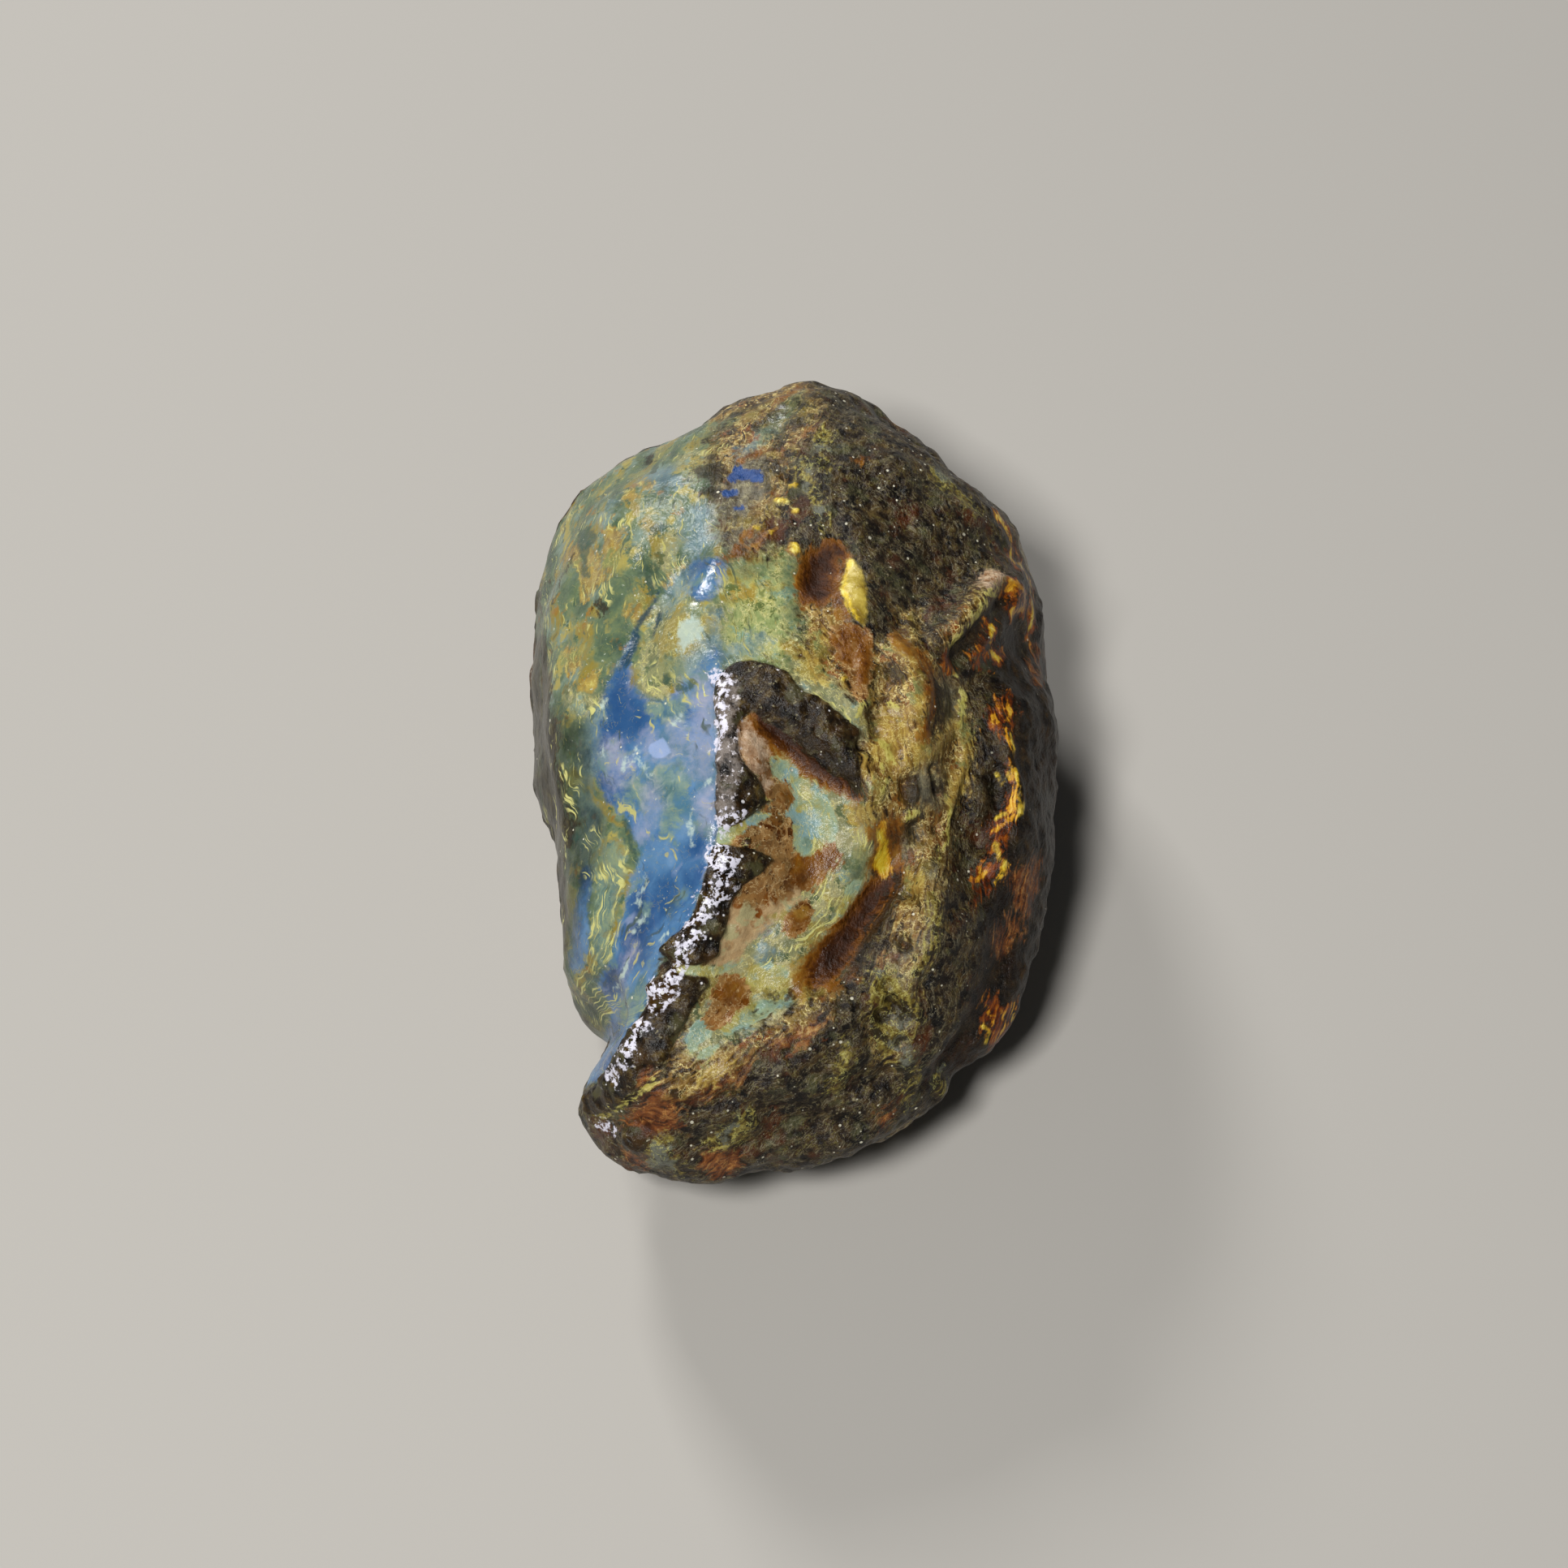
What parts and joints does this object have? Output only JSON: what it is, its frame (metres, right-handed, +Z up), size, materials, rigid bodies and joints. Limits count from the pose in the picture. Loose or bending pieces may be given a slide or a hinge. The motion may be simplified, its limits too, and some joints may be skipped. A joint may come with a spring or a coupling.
{
  "type": "raw amber piece",
  "caption": "Raw blue amber: a water-worn nugget of fossil resin with a glassy blue face, a dark bark-like crust along its ridge and right side, and a flat worn on its underside.",
  "frame": {"origin": "under the middle of the nugget's box, on the surface that its worn flat rests on", "axes": "+Y along the nugget, away from its pointed near end; +X across it, to the right seen from the near end; +Z up"},
  "size_m": [0.0396, 0.064, 0.0301],
  "materials": {
    "amber": "water-worn resin: glossy and slightly see-through where it is clear, matt and grainy on the bark-like crust"
  },
  "bodies": {
    "root": {"raw_amber": "amber"}
  },
  "joints": []
}
